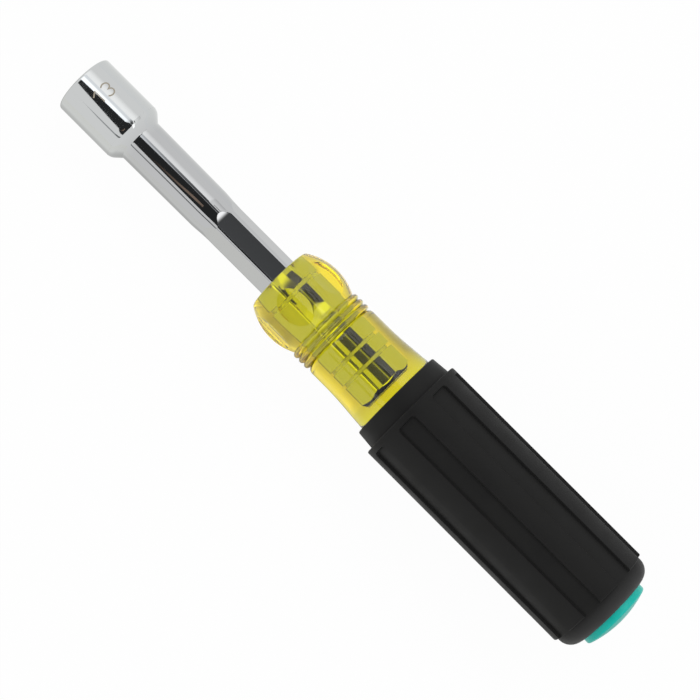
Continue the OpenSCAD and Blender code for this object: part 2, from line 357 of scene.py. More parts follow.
class RoundPattern(ShapeTree):
    """Sets copies of one sector round the tool's axis."""

    TURNED_SECTORS: int = 12
    TURNED_STEPS: int = 10

    def __init__(self, axis: ToolAxis) -> None:
        """Builds the tree.

        Args:
            axis: Axis that the copies go round.
        """
        super().__init__("round pattern", {"Count": "NodeSocketInt", "Axis Height": "NodeSocketFloat"})
        self.axis = axis
        tree, given = self.tree, self.given
        height = add_node(tree, "ShaderNodeCombineXYZ", {"Z": given["Axis Height"]})
        spots = add_node(tree, "GeometryNodeMeshLine", {
            "Count": given["Count"], "Start Location": height, "Offset": (0.0, 0.0, 0.0),
        })
        step = add_node(tree, "ShaderNodeMath", {0: math.tau, 1: given["Count"]}, operation="DIVIDE")
        number = add_node(tree, "GeometryNodeInputIndex")
        turn = add_node(tree, "ShaderNodeMath", {0: number, 1: step}, operation="MULTIPLY")
        rotation = add_node(tree, "FunctionNodeAxisAngleToRotation", {
            "Axis": (1.0, 0.0, 0.0), "Angle": turn,
        })
        copies = add_node(tree, "GeometryNodeInstanceOnPoints", {
            "Points": spots, "Instance": given["Geometry"], "Rotation": rotation,
        })
        self.close(copies)

    def spread(self, name: str, rows: Sequence[Sequence[Vector]], count: int,
               material: bpy.types.Material, closed: bool = False) -> bpy.types.Object:
        """Makes a whole piece from the rows of one sector.

        Args:
            name: Name of the piece.
            rows: Rows of points of the sector.
            count: Number of sectors in a full turn.
            material: Finish of the piece.
            closed: True if the last row joins the first.

        Returns:
            The finished piece.
        """
        values = {"Count": count, "Axis Height": self.axis.height, "Material": material}
        return self.bake(name, sector_mesh(name, rows, closed), values)

    def turned(self, name: str, outline: Sequence[Ring], material: bpy.types.Material) -> bpy.types.Object:
        """Makes a turned piece from an outline that starts and ends on the axis.

        Args:
            name: Name of the piece.
            outline: Rings from pole to pole.
            material: Finish of the piece.

        Returns:
            The finished piece.
        """
        clocks = spaced(0, 360 / self.TURNED_SECTORS, self.TURNED_STEPS)
        rows = [[self.axis.point(ring.station, ring.radius, clock) for clock in clocks] for ring in outline]
        return self.spread(name, rows, self.TURNED_SECTORS, material)


class WrappedStroke(ShapeTree):
    """Lays a flat drawn line round a cylinder on the tool's axis, as a thin raised band."""

    def __init__(self) -> None:
        """Builds the tree."""
        sizes = ("Stroke Width", "Stroke Height", "Radius", "Axis Height")
        super().__init__("wrapped stroke", {size: "NodeSocketFloat" for size in sizes})
        tree, given = self.tree, self.given
        band = add_node(tree, "GeometryNodeCurvePrimitiveQuadrilateral", {
            "Width": given["Stroke Width"], "Height": given["Stroke Height"],
        })
        strip = add_node(tree, "GeometryNodeCurveToMesh", {
            "Curve": given["Geometry"], "Profile Curve": band, "Fill Caps": True,
        })
        here = add_node(tree, "GeometryNodeInputPosition")
        place = add_node(tree, "ShaderNodeSeparateXYZ", {"Vector": here}).outputs
        turn = add_node(tree, "ShaderNodeMath", {0: place["Y"], 1: given["Radius"]}, operation="DIVIDE")
        level = add_node(tree, "ShaderNodeMath", {0: place["Z"], 1: given["Radius"]})
        sine = add_node(tree, "ShaderNodeMath", {0: turn}, operation="SINE")
        cosine = add_node(tree, "ShaderNodeMath", {0: turn}, operation="COSINE")
        side = add_node(tree, "ShaderNodeMath", {0: level, 1: sine}, operation="MULTIPLY")
        rise = add_node(tree, "ShaderNodeMath", {0: level, 1: cosine, 2: given["Axis Height"]},
                        operation="MULTIPLY_ADD")
        wrapped = add_node(tree, "ShaderNodeCombineXYZ", {"X": place["X"], "Y": side, "Z": rise})
        laid = add_node(tree, "GeometryNodeSetPosition", {"Geometry": strip, "Position": wrapped})
        self.close(laid)


class FinishTree:
    """Node tree of one finish, with the object's own coordinates ready for its patterns."""

    def __init__(self, name: str) -> None:
        """Starts an empty material.

        Args:
            name: Name of the material.
        """
        self.material = bpy.data.materials.new(name)
        self.material.use_nodes = True
        self.tree = self.material.node_tree
        self.tree.nodes.clear()
        self.place = add_node(self.tree, "ShaderNodeTexCoord").outputs["Object"]

    def mottle(self, size: float, detail: float = 2.0, tints: tuple[str, str] | None = None,
               gloss: tuple[float, float] | None = None, height: float = 0.0, place: Any = None,
               span: tuple[float, float] = (0.3, 0.7)) -> dict[str, Any]:
        """Adds a cloudy pattern, and what it does to the surface.

        Args:
            size: Size of its clouds, in millimetres.
            detail: Number of finer layers in it.
            tints: Colours of its low and high places, if it colours the surface.
            gloss: Roughness of its low and high places, if it changes the gloss.
            height: Height of its relief in millimetres, 0 for none.
            place: Coordinates that it reads in place of the object's own.
            span: Values of the pattern that take the two ends of the gloss.

        Returns:
            Inputs of a Principled shader, by name.
        """
        cloud = add_node(self.tree, "ShaderNodeTexNoise", {
            "Vector": self.place if place is None else place, "Scale": 1 / (size * MM), "Detail": detail,
        })
        made: dict[str, Any] = {}
        if tints:
            made["Base Color"] = add_node(self.tree, "ShaderNodeMix", {
                "Factor": cloud, "A": linear(tints[0]), "B": linear(tints[1]),
            }, data_type="RGBA")
        if gloss:
            made["Roughness"] = add_node(self.tree, "ShaderNodeMapRange", {
                "Value": cloud, "From Min": span[0], "From Max": span[1],
                "To Min": gloss[0], "To Max": gloss[1],
            })
        if height:
            made["Normal"] = add_node(self.tree, "ShaderNodeBump", {
                "Height": cloud, "Strength": 1.0, "Distance": height * MM,
            })
        return made

    def close(self, surface: bpy.types.Node, volume: bpy.types.Node | None = None) -> bpy.types.Material:
        """Ends the tree in its output.

        Args:
            surface: Shader node of the surface.
            volume: Shader node of the volume, if the material has one.

        Returns:
            The material.
        """
        shaders = {"Surface": surface}
        if volume is not None:
            shaders["Volume"] = volume
        add_node(self.tree, "ShaderNodeOutputMaterial", shaders)
        return self.material


@dataclass(frozen=True)
class ChromePlate:
    """Bright chromium plating over polished steel."""

    buffed: str = "#C7C9C9"
    swaged: str = "#BABBBC"
    fade_mm: float = 5.0
    turned: str = "#EDEEEE"
    roughness: tuple[float, float] = (0.03, 0.05)
    haze_mm: float = 2.4
    haze_detail: float = 3.0
    haze_span: tuple[float, float] = (0.35, 0.7)
    # Real polishing lines are a few hundredths of a millimetre apart: drawn coarser so that they show
    line_mm: float = 0.3
    line_stretch: float = 40.0
    line_height_mm: float = 0.00005
    turned_roughness: float = 0.75

    def material(self, buffed_to: float, grooves: Sequence[float],
                 groove_half: float) -> bpy.types.Material:
        """Makes the material.

        Args:
            buffed_to: Place along X, in metres, where the brighter buffing of the socket ends.
            grooves: Places along X of the turned grooves, which no buffing wheel reaches.
            groove_half: Half of a groove's width, in metres.

        Returns:
            The material.
        """
        # Plating copies the polished steel below it: a cool, slightly dark mirror, brightest on the buffed
        # socket, with faint clouds and lengthwise lines that fray the edges of what it reflects, and a pale
        # matt ring where the steel was only turned
        finish = FinishTree("chromium_plated_steel")
        tree = finish.tree
        along_x = add_node(tree, "ShaderNodeSeparateXYZ", {"Vector": finish.place}).outputs["X"]
        rear = add_node(tree, "ShaderNodeMapRange", {
            "Value": along_x, "From Min": buffed_to, "From Max": buffed_to + self.fade_mm * MM,
        })
        tint = add_node(tree, "ShaderNodeMix", {
            "Factor": rear, "A": linear(self.buffed), "B": linear(self.swaged),
        }, data_type="RGBA")
        haze = finish.mottle(self.haze_mm, self.haze_detail, gloss=self.roughness, span=self.haze_span)
        inside: Any = 0.0
        for groove in grooves:
            near = add_node(tree, "ShaderNodeMath", {0: along_x, 1: groove, 2: groove_half},
                            operation="COMPARE")
            inside = add_node(tree, "ShaderNodeMath", {0: inside, 1: near}, operation="MAXIMUM")
        gloss = add_node(tree, "ShaderNodeMix", {
            "Factor": inside, "A": haze["Roughness"], "B": self.turned_roughness,
        })
        bare = add_node(tree, "ShaderNodeMix", {
            "Factor": inside, "A": tint, "B": linear(self.turned),
        }, data_type="RGBA")
        along = add_node(tree, "ShaderNodeMapping", {
            "Vector": finish.place, "Scale": (1 / self.line_stretch, 1.0, 1.0),
        })
        lines = finish.mottle(self.line_mm, height=self.line_height_mm, place=along)
        shader = add_node(tree, "ShaderNodeBsdfPrincipled", {
            **lines, "Base Color": bare, "Metallic": 1.0, "Roughness": gloss,
        })
        return finish.close(shader)


@dataclass(frozen=True)
class LaserMark:
    """Oxide that a laser leaves on the plating."""

    colours: tuple[str, str] = ("#8E8576", "#B3AB9B")
    grain_mm: float = 0.18
    roughness: float = 0.55

    def material(self) -> bpy.types.Material:
        """Makes the material.

        Returns:
            The material.
        """
        # The burnt line scatters light, so it stays tan-grey where the mirror round it turns dark or white
        finish = FinishTree("laser_oxide_on_chrome")
        grain = finish.mottle(self.grain_mm, tints=self.colours)
        shader = add_node(finish.tree, "ShaderNodeBsdfPrincipled", {**grain, "Roughness": self.roughness})
        return finish.close(shader)


@dataclass(frozen=True)
class ClearButyrate:
    """Clear yellow cellulose acetate butyrate, injection moulded in a polished tool."""

    tint: str = "#FFFE00"
    density: float = 600.0
    ior: float = 1.48
    clarity: float = 0.97
    roughness: tuple[float, float] = (0.0, 0.03)
    flow_mm: float = 5.0
    flow_detail: float = 1.0
    flow_height_mm: float = 0.006

    def material(self) -> bpy.types.Material:
        """Makes the material.

        Returns:
            The material.
        """
        # The colour lies in the depth: pale at thin edges, amber where the eye looks through a thick part.
        # The skin is glossy, with slow ripples from the flow of the melt and a thin veil of wipe marks
        finish = FinishTree("cellulose_acetate_butyrate")
        flow = finish.mottle(self.flow_mm, self.flow_detail, gloss=self.roughness,
                             height=self.flow_height_mm)
        shader = add_node(finish.tree, "ShaderNodeBsdfPrincipled", {
            **flow, "Base Color": linear(WHITE), "Transmission Weight": self.clarity, "IOR": self.ior,
        })
        depth = add_node(finish.tree, "ShaderNodeVolumeAbsorption", {
            "Color": linear(self.tint), "Density": self.density,
        })
        return finish.close(shader, depth)


@dataclass(frozen=True)
class CushionRubber:
    """Black thermoplastic rubber, moulded in a finely blasted tool."""

    colours: tuple[str, str] = ("#141414", "#1A1A19")
    # Painted sheen: the lighter grey that the smooth tail's colour turns to
    tail_sheen_grey: str = "#393939"
    roughness: tuple[float, float] = (0.52, 0.66)
    ior: float = 1.5
    sheen: float = 0.2
    grain_mm: float = 0.22
    grain_height_mm: float = 0.012
    cloud_mm: float = 7.0
    cloud_detail: float = 3.0

    def material(self, ribs_to: float, tail_to: float) -> bpy.types.Material:
        """Makes the material.

        Args:
            ribs_to: Place along X, in metres, where the ribs end and the painted sheen of the tail starts.
            tail_to: Place where the tail ends.

        Returns:
            The material.
        """
        # A soft black that never quite closes: the blasted grain breaks each highlight into a grey sheen,
        # handling leaves slightly smoother patches, and the smooth tail is painted a lighter grey, a
        # painted sheen
        finish = FinishTree("thermoplastic_rubber")
        tree = finish.tree
        grain = finish.mottle(self.grain_mm, height=self.grain_height_mm)
        cloud = finish.mottle(self.cloud_mm, self.cloud_detail, self.colours, self.roughness)
        along_x = add_node(tree, "ShaderNodeSeparateXYZ", {"Vector": finish.place}).outputs["X"]
        # Painted sheen on the tail: the base colour lightens from the ribs' ends to the rear face
        tail_sheen_mask = add_node(tree, "ShaderNodeMapRange", {
            "Value": along_x, "From Min": ribs_to, "From Max": tail_to,
        })
        tail_sheened = add_node(tree, "ShaderNodeMix", {
            "Factor": tail_sheen_mask, "A": cloud["Base Color"], "B": linear(self.tail_sheen_grey),
        }, data_type="RGBA")
        shader = add_node(tree, "ShaderNodeBsdfPrincipled", {
            **grain, **cloud, "Base Color": tail_sheened, "IOR": self.ior, "Specular IOR Level": self.sheen,
        })
        return finish.close(shader)


@dataclass(frozen=True)
class MouldedPlastic:
    """Coloured engineering plastic with a satin moulded skin."""

    name: str
    colours: tuple[str, str]
    roughness: tuple[float, float]
    ior: float
    reflectance: float = 0.5
    skin_mm: float = 0.6
    skin_height_mm: float = 0.004

    def material(self) -> bpy.types.Material:
        """Makes the material.

        Returns:
            The material.
        """
        # Evenly coloured right through, with a satin skin whose faint orange peel softens reflections
        finish = FinishTree(self.name)
        skin = finish.mottle(self.skin_mm, tints=self.colours, gloss=self.roughness,
                             height=self.skin_height_mm)
        shader = add_node(finish.tree, "ShaderNodeBsdfPrincipled", {
            **skin, "IOR": self.ior, "Specular IOR Level": self.reflectance,
        })
        return finish.close(shader)


class ShaftWall(Enum):
    """Cross-section of the shaft at one row of its mesh."""

    OUTSIDE = "round, swaged to a hexagon"
    ROUND = "plain round"
    NUT = "hexagon for the nut"


@dataclass(frozen=True)
class SocketShaft:
    """Hollow shaft with its socket, drawn from one piece of steel."""

    nut_flat_r: float = 6.6
    nut_depth: float = 12.0
    socket_wall: float = 2.7
    socket_l: float = 20.0
    shoulder_angle: float = 42.0
    shoulder_round: float = 3.0
    shoulder_root: float = 0.5
    shoulder_lead: float = 1.5
    lead_angle: float = 2.5
    lead_round: float = 30.0
    mouth_round: float = 0.7
    mouth_inset: float = 0.1
    mouth_chamfer: float = 0.15
    # Length of the lead-in behind the mouth, and the station where the plain hexagon starts
    lead_in_l: float = 1.4
    lead_in_steps: int = 14
    nut_from: float = 1.5
    nut_steps: int = 4
    front_d: float = 13.6
    rear_d: float = 13.2
    wall: float = 1.25
    exposed_l: float = 77.5
    bolster_l: float = 22.2
    bolster_af: float = 11.1
    sides: int = 6
    corner_trim: float = 0.15
    # Angle from the middle of a flat where the closer columns of its corner start
    corner_from: float = 21.0
    flat_steps: int = 10
    corner_steps: int = 18
    swage_l: float = 6.4
    # Reach of the taper's close rings into the straight hexagon
    swage_rest: float = 0.6
    swage_steps: int = 64
    ramp_l: float = 2.9
    flat_lead: float = -0.2
    bolster_clock: float = 10.0
    embedded_l: float = 42.7
    end_chamfer_l: float = 1.3
    end_chamfer_depth: float = 0.9
    end_chamfer_lead: float = 1.0
    end_chamfer_round: float = 0.3
    retain_w: float = 0.85
    retain_depth: float = 0.2
    retain_slope: float = 6.0
    retain_steps: int = 28
    front_retain_at: float = 6.4
    rear_retain_at: float = 8.4
    retain_pitch: float = 5.0
    plug_seat: float = 0.3
    plug_l: float = 8.0
    edge_blend: float = 0.06
    ramp_blend: float = 0.7
    finish: ChromePlate = field(default_factory=ChromePlate)

    @property
    def socket_r(self) -> float:
        """Radius of the socket."""
        return self.nut_flat_r + self.socket_wall

    @property
    def flat_r(self) -> float:
        """Distance of the hexagon's flats from the axis."""
        return self.bolster_af / 2

    @property
    def corner_r(self) -> float:
        """Radius of the hexagon's rounded corners."""
        return self.flat_r / math.cos(math.radians(HEX_HALF)) - self.corner_trim

    @property
    def bore_r(self) -> float:
        """Radius of the bore."""
        return self.flat_r - self.wall

    @property
    def plug_r(self) -> float:
        """Radius of the plug's seat."""
        return self.bore_r + self.plug_seat

    @property
    def hex_at(self) -> float:
        """Station where the hexagon's corners run straight."""
        return self.exposed_l - self.bolster_l

    @property
    def end(self) -> float:
        """Station of the rear end."""
        return self.exposed_l + self.embedded_l

    @property
    def grooves(self) -> tuple[float, ...]:
        """Stations of the retaining grooves."""
        last = self.end - self.rear_retain_at
        return (self.exposed_l + self.front_retain_at, last - self.retain_pitch, last)

    def flat_level(self, station: float) -> float:
        """Distance of a flat, or of the ramp in front of it, from the axis.

        Args:
            station: Station to look at.

        Returns:
            The distance at the middle of a side.
        """
        flat_at = self.hex_at - self.flat_lead
        slope = (self.rear_d / 2 - self.flat_r) / self.ramp_l
        return smooth_max(self.flat_r, self.flat_r + (flat_at - station) * slope, self.ramp_blend)

    def groove_level(self, station: float) -> float:
        """Distance of the nearest retaining groove's bottom, or of its walls, from the axis.

        Args:
            station: Station to look at.

        Returns:
            The distance, which grows without end away from the groove.
        """
        away = min(abs(station - groove) for groove in self.grooves)
        return self.flat_r - self.retain_depth + max(away - self.retain_w / 2, 0.0) * self.retain_slope

    def radius_at(self, ring: Ring, turn: float, wall: ShaftWall) -> float:
        """Radius of the steel's surface.

        Args:
            ring: Station, and the radius that the surface would have if it were round.
            turn: Angle from the middle of the nearest flat, in degrees.
            wall: Which surface it is.

        Returns:
            The radius at that angle.
        """
        lean = math.cos(math.radians(turn))
        if wall is ShaftWall.ROUND:
            return ring.radius
        if wall is ShaftWall.NUT:
            return max(self.nut_flat_r / lean, ring.radius)
        swaged = smooth_min(ring.radius, self.flat_level(ring.station) / lean, self.edge_blend)
        return smooth_min(swaged, self.groove_level(ring.station), self.edge_blend / 2)

    def outside(self) -> list[Ring]:
        """Outline from the mouth to the rear end, before the flats are pressed and the grooves turned.

        Returns:
            Its rings in order.
        """
        edge_r = self.socket_r - self.shoulder_lead * math.tan(math.radians(self.lead_angle))
        shoulder_l = (edge_r - self.front_d / 2) / math.tan(math.radians(self.shoulder_angle))
        swage_at = self.hex_at - self.swage_l
        rings = guard(soften([
            Corner(0, self.socket_r - self.mouth_round - self.mouth_inset),
            Corner(0, self.socket_r, self.mouth_round),
            Corner(self.socket_l - self.shoulder_lead, self.socket_r, self.lead_round),
            Corner(self.socket_l, edge_r, self.shoulder_round),
            Corner(self.socket_l + shoulder_l, self.front_d / 2, self.shoulder_root),
            Corner(swage_at, self.rear_d / 2),
        ]))
        taper = spaced(swage_at, self.hex_at + self.swage_rest, self.swage_steps)
        rings += [self.swaged(station) for station in taper[1:]]
        for groove in self.grooves:
            across = spaced(-self.retain_w, self.retain_w, self.retain_steps)
            rings += [Ring(groove + offset, self.corner_r) for offset in across]
        chamfer_at = self.end - self.end_chamfer_l
        rings += guard(soften([
            Corner(chamfer_at - self.end_chamfer_lead, self.corner_r),
            Corner(chamfer_at, self.corner_r, self.end_chamfer_round),
            Corner(self.end, self.corner_r - self.end_chamfer_depth),
        ]))
        return rings

    def swaged(self, station: float) -> Ring:
        """Ring of the taper from the round shaft to the hexagon's corners.

        Args:
            station: Station of the ring.

        Returns:
            The ring, on a curve that leaves the round and reaches the corners without a crease.
        """
        share = min(max(1 - (self.hex_at - station) / self.swage_l, 0.0), 1.0)
        eased = share * share * (3 - 2 * share)
        return Ring(station, self.rear_d / 2 + (self.corner_r - self.rear_d / 2) * eased)

    def turns(self) -> list[float]:
        """Angles across one flat, closer together at its rounded corners."""
        corner = spaced(self.corner_from, HEX_HALF, self.corner_steps)
        return mirrored(spaced(0, self.corner_from, self.flat_steps) + corner[1:])

    def build(self, pattern: RoundPattern) -> bpy.types.Object:
        """Makes and dresses the shaft.

        Args:
            pattern: Pattern that sets the six sides round the axis.

        Returns:
            The finished piece.
        """
        lead_r = self.nut_flat_r / math.cos(math.radians(HEX_HALF)) + self.mouth_chamfer
        rows = [(ring, ShaftWall.OUTSIDE) for ring in self.outside()]
        bore = guard([
            Ring(self.end, self.plug_r),
            Ring(self.end - self.plug_l, self.plug_r),
            Ring(self.end - self.plug_l, self.bore_r),
            Ring(self.nut_depth, self.bore_r),
        ])
        rows += [(ring, ShaftWall.ROUND) for ring in bore]
        nut = [Ring(at, 0.0) for at in spaced(self.nut_depth, self.nut_from, self.nut_steps)]
        nut += [Ring(at, lead_r - at) for at in spaced(self.lead_in_l, 0, self.lead_in_steps)]
        rows += [(ring, ShaftWall.NUT) for ring in nut]
        axis = pattern.axis
        points = [
            [
                axis.point(ring.station, self.radius_at(ring, turn, wall), self.bolster_clock + turn)
                for turn in self.turns()
            ]
            for ring, wall in rows
        ]
        grooves = [axis.x(groove) for groove in self.grooves]
        finish = self.finish.material(axis.x(self.socket_l), grooves, self.retain_w / 2 * MM)
        piece = pattern.spread("socket_shaft_chrome", points, self.sides, finish, closed=True)
        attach(piece, BODY)
        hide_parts("socket_shaft")
        return piece


@dataclass(frozen=True)
class SizeMark:
    """The nut size, burnt into the socket as single strokes."""

    shaft: SocketShaft
    top_at: float = 5.8
    height: float = 4.0
    one_clock: float = 4.2
    one_flag: tuple[float, float] = (1.54, 1.1)
    flag_steps: int = 8
    three_clock: float = 22.6
    lobe_w: float = 1.33
    lobe_end: float = 150.0
    lobe_steps: int = 24
    stroke_w: float = 0.42
    stroke_h: float = 0.04
    finish: LaserMark = field(default_factory=LaserMark)

    def one(self) -> list[tuple[float, float]]:
        """Points of the 1.

        Returns:
            Places across and up from the foot of its stem.
        """
        flag_w, flag_h = self.one_flag
        flag = [(-flag_w * share, self.height - flag_h * share) for share in spaced(1, 0, self.flag_steps)]
        return flag + [(0, 0)]

    def three(self) -> list[tuple[float, float]]:
        """Points of the 3.

        Returns:
            Places across and up from under the middle of its bowls.
        """
        rise = self.height / 4
        upper = spaced(self.lobe_end, -90, self.lobe_steps)
        lower = spaced(90, -self.lobe_end, self.lobe_steps)[1:]
        return [
            (self.lobe_w * math.cos(math.radians(turn)), middle + rise * math.sin(math.radians(turn)))
            for middle, turns in ((3 * rise, upper), (rise, lower))
            for turn in turns
        ]

    def build(self, axis: ToolAxis) -> bpy.types.Object:
        """Makes and dresses the mark.

        Args:
            axis: Axis of the socket.

        Returns:
            The finished piece.
        """
        drawing = bpy.data.curves.new("size_mark", "CURVE")
        drawing.dimensions = "3D"
        drawing.twist_mode = "Z_UP"
        foot_x = axis.x(self.top_at + self.height)
        for clock, figure in ((self.one_clock, self.one()), (self.three_clock, self.three())):
            start = math.radians(clock) * self.shaft.socket_r
            line = drawing.splines.new("POLY")
            line.points.add(len(figure) - 1)
            for spot, (across, up) in zip(line.points, figure):
                spot.co = (foot_x - up * MM, (start + across) * MM, 0.0, 1.0)
        piece = WrappedStroke().bake("size_mark", drawing, {
            "Stroke Width": self.stroke_w * MM,
            "Stroke Height": self.stroke_h * MM,
            "Radius": self.shaft.socket_r * MM,
            "Axis Height": axis.height,
            "Material": self.finish.material(),
        })
        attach(piece, BODY)
        return piece


@dataclass(frozen=True)
class ShaftPlug:
    """Plug that keeps the moulded handle out of the shaft's bore."""

    shaft: SocketShaft
    flange_w: float = 0.5
    flange_t: float = 0.5
    gap: float = 0.02
    edge: float = 0.12
    finish: MouldedPlastic = MouldedPlastic("nylon", ("#CBC5B2", "#D3CDBB"), (0.4, 0.5), 1.53)

    @property
    def flange_r(self) -> float:
        """Radius of the flange."""
        return self.shaft.plug_r + self.flange_w

    @property
    def end(self) -> float:
        """Station of the flange's rear face."""
        return self.shaft.end + self.flange_t

    def build(self, pattern: RoundPattern) -> bpy.types.Object:
        """Makes and dresses the plug.

        Args:
            pattern: Pattern that turns the outline round the axis.

        Returns:
            The finished piece.
        """
        front = self.shaft.end - self.shaft.plug_l
        body_r = self.shaft.plug_r - self.gap
        outline = guard(soften([
            Corner(front, 0),
            Corner(front, body_r, self.edge),
            Corner(self.shaft.end, body_r),
            Corner(self.shaft.end, self.flange_r),
            Corner(self.end, self.flange_r, self.edge),
            Corner(self.end, 0),
        ]))
        piece = pattern.turned("shaft_plug_nylon", outline, self.finish.material())
        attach(piece, BODY)
        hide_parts("shaft_plug")
        return piece


class HandleWall(Enum):
    """Kind of surface at one row of the handle's mesh."""

    CAVITY = "moulded round the shaft"
    BULB = "hollowed by the flutes"
    TURNED = "plain round"


@dataclass(frozen=True)
class Handle:
    """Clear handle, moulded round the shaft: finger bulb, bead rings, waist and the core under the grip."""

    shaft: SocketShaft
    plug: ShaftPlug
    bulb_d: float = 26.4
    bulb_curve_r: float = 16.8
    bulb_step: float = 1.0
    bulb_peak_at: float = 9.6
    bulb_l: float = 17.4
    front_round: float = 0.9
    flute_count: int = 6
    flute_depth: float = 1.08
    flute_r: float = 23.5
    flute_clock: float = 49.0
    flute_blend: float = 0.05
    # Least angle that is left for a flute where it runs out
    flute_least: float = 3.0
    bead_count: int = 3
    bead_pitch: float = 1.95
    bead_rise: float = 0.15
    bead_r: float = 0.85
    bead_turn: float = 72.0
    neck_drop: float = 0.6
    neck_l: float = 0.6
    waist_r: float = 12.0
    waist_round: float = 1.8
    waist_drop: float = 1.25
    waist_l: float = 5.6
    flare_l: float = 16.05
    flare_rise: float = 1.0
    flare_bend: float = 0.55
    flare_steps: int = 16
    core_l: float = 79.8
    stem_hole_r: float = 6.0
    stem_hole_l: float = 14.04
    columns: int = 24
    finish: ClearButyrate = field(default_factory=ClearButyrate)

    @property
    def front(self) -> float:
        """Station of the front face."""
        return self.shaft.exposed_l

    @property
    def flare_at(self) -> float:
        """Station where the waist starts to flare."""
        return self.front + self.bulb_l + self.bead_count * self.bead_pitch + self.neck_l + self.waist_l

    @property
    def flare_end(self) -> float:
        """Station where the flare meets the core."""
        return self.flare_at + self.flare_l

    @property
    def core_r(self) -> float:
        """Radius of the core under the grip."""
        return self.waist_r + self.flare_rise

    @property
    def core_end(self) -> float:
        """Station of the rear face."""
        return self.flare_end + self.core_l

    @property
    def flute_centre_r(self) -> float:
        """Distance of a flute's centre line from the axis."""
        return self.bulb_d / 2 - self.flute_depth + self.flute_r

    def cavity(self) -> list[Ring]:
        """Outline of the cavity round the shaft and its plug.

        Returns:
            Its rings from the closed end forward to the front face.
        """
        inner_end = self.shaft.end - BOND
        flange_r = self.plug.flange_r - BOND
        rings = guard([
            Ring(self.plug.end - BOND, 0.0),
            Ring(self.plug.end - BOND, flange_r),
            Ring(inner_end, flange_r),
        ])
        steel = [ring for ring in self.shaft.outside() if self.front < ring.station < inner_end]
        return rings + steel[::-1] + [Ring(self.front, self.shaft.corner_r)]

    def bulb(self) -> list[Ring]:
        """Outline of the bulb with its rounded front edge.

        Returns:
            Its rings from the front face to the bead rings.
        """
        peak = Ring(self.front + self.bulb_peak_at, self.bulb_d / 2 - self.bulb_curve_r)
        run = self.bulb_peak_at - self.front_round
        reach = self.bulb_curve_r - self.front_round
        touch = -math.degrees(math.asin(run / reach))
        edge = Ring(self.front + self.front_round, peak.radius + math.sqrt(reach ** 2 - run ** 2))
        end = math.degrees(math.asin((self.bulb_l - self.bulb_peak_at) / self.bulb_curve_r))
        dome = arc(peak, self.bulb_curve_r, touch, end, self.bulb_step)
        return arc(edge, self.front_round, -90, touch) + dome[1:]

    def neck(self) -> list[Ring]:
        """Outline of the bead rings, the waist and its flare, and the rear face with the stem's hole.

        Returns:
            Its rings from the bulb to the closed end of the hole.
        """
        beads_at = self.front + self.bulb_l
        centre_r = self.waist_r + self.bead_rise - self.bead_r
        neck_r = self.waist_r - self.neck_drop
        rings: list[Ring] = []
        for i in range(self.bead_count):
            bead = Ring(beads_at + (i + 0.5) * self.bead_pitch, centre_r)
            rings += arc(bead, self.bead_r, -self.bead_turn, self.bead_turn)
            rings.append(Ring(bead.station + self.bead_pitch / 2, neck_r))
        turn = math.acos(1 - self.waist_drop / self.waist_round)
        waist_at = rings.pop().station + self.waist_round * math.sin(turn)
        edge = Ring(waist_at, self.waist_r - self.waist_round)
        rings += arc(edge, self.waist_round, -math.degrees(turn), 0)
        rings += guard([rings.pop(), Ring(self.flare_at, self.waist_r)])
        for share in spaced(0, 1, self.flare_steps)[1:]:
            bent = min(share, self.flare_bend) ** 2 / self.flare_bend / 2
            rise = (bent + max(share - self.flare_bend, 0.0)) / (1 - self.flare_bend / 2)
            rings.append(Ring(self.flare_at + share * self.flare_l, self.waist_r + rise * self.flare_rise))
        hole_end = self.core_end - self.stem_hole_l
        return rings + guard([
            Ring(self.core_end, self.core_r),
            Ring(self.core_end, self.stem_hole_r),
            Ring(hole_end, self.stem_hole_r),
            Ring(hole_end, 0.0),
        ])

    def flute_edge(self, radius: float) -> float:
        """Angle from the middle of a flute to its edge.

        Args:
            radius: Radius of the bulb at that place.

        Returns:
            The angle in degrees.
        """
        d = self.flute_centre_r
        lean = (radius ** 2 + d ** 2 - self.flute_r ** 2) / (2 * radius * d)
        return max(math.degrees(math.acos(min(lean, 1.0))), self.flute_least)

    def turns(self, ring: Ring, wall: HandleWall) -> list[float]:
        """Angles across one sector, closer together at the edges of a flat or a flute.

        Args:
            ring: Ring that the angles are for.
            wall: Kind of surface.

        Returns:
            Angles from the middle of the sector, in degrees.
        """
        n = self.columns
        sector = 180 / self.flute_count
        if wall is HandleWall.TURNED:
            half = spaced(0, sector, n)
        elif wall is HandleWall.CAVITY:
            corner = self.shaft.corner_from
            half = spaced(0, corner, n // 3) + spaced(corner, sector, n - n // 3)[1:]
        else:
            edge = self.flute_edge(ring.radius)
            inside = [edge * (1 - (1 - share) ** 2) for share in spaced(0, 1, n // 2)]
            outside = [edge + (sector - edge) * share ** 2 for share in spaced(0, 1, n - n // 2)]
            half = inside + outside[1:]
        return mirrored(half)

    def radius_at(self, ring: Ring, turn: float, wall: HandleWall) -> float:
        """Radius of the plastic's surface.

        Args:
            ring: Station, and the radius that the surface would have if it were round.
            turn: Angle from the middle of the sector, in degrees.
            wall: Kind of surface.

        Returns:
            The radius at that angle.
        """
        if wall is HandleWall.TURNED:
            return ring.radius
        if wall is HandleWall.CAVITY:
            if ring.station >= self.shaft.end - BOND:
                return ring.radius
            return self.shaft.radius_at(ring, turn, ShaftWall.OUTSIDE) - BOND
        lean = math.radians(turn)
        d = self.flute_centre_r
        hollow = d * math.cos(lean) - math.sqrt(self.flute_r ** 2 - (d * math.sin(lean)) ** 2)
        return smooth_min(ring.radius, hollow, self.flute_blend)

    def build(self, pattern: RoundPattern) -> bpy.types.Object:
        """Makes and dresses the handle.

        Args:
            pattern: Pattern that sets the six sectors round the axis.

        Returns:
            The finished piece.
        """
        sector = 360 / self.flute_count
